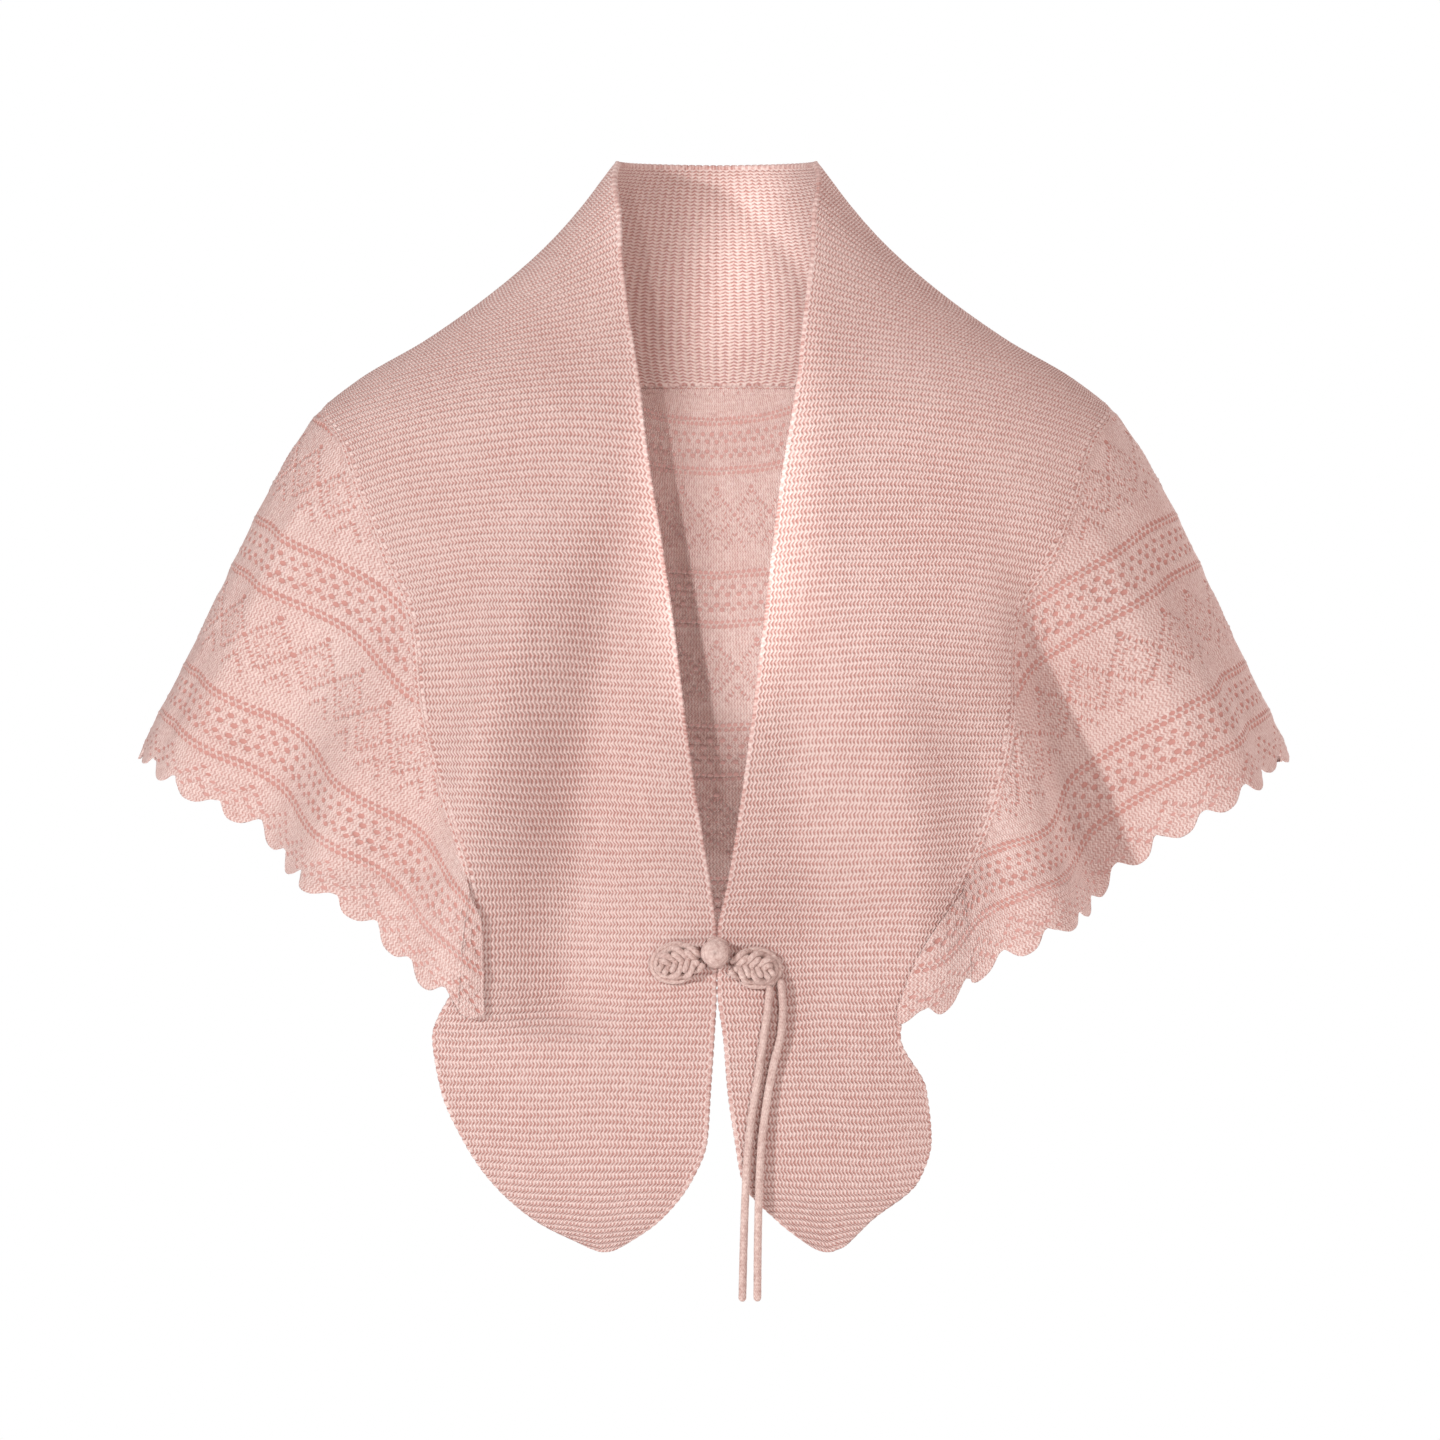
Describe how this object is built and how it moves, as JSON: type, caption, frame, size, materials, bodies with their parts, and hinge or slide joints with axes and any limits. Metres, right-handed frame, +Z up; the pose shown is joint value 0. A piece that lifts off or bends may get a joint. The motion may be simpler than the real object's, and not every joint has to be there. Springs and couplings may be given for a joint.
{
  "type": "knitted capelet",
  "caption": "Knitted capelet: a ribbed band with shawl collar and pointed front tails, a flared lace wrap with scalloped hem, and a braided frog fastening with hanging cord ends.",
  "frame": {"origin": "middle of the neck at its base, where the wearer's neck and shoulders hold the capelet", "axes": "+X to the wearer's left, +Y to the back, +Z up"},
  "size_m": [0.5861, 0.2852, 0.567],
  "materials": {
    "band": "fine garter knit, soft wool, pale pink",
    "lace": "openwork lace knit, soft wool, pale pink",
    "frog": "knitted cord, dull, greyish pink"
  },
  "bodies": {
    "root": {"band_right": "band", "band_left": "band", "lace_right": "lace", "lace_left": "lace", "lace_back": "lace", "frog_lobe_right": "frog", "frog_lobe_left": "frog", "frog_ball": "frog", "frog_loop": "frog", "cord_1": "frog", "cord_2": "frog"}
  },
  "joints": []
}
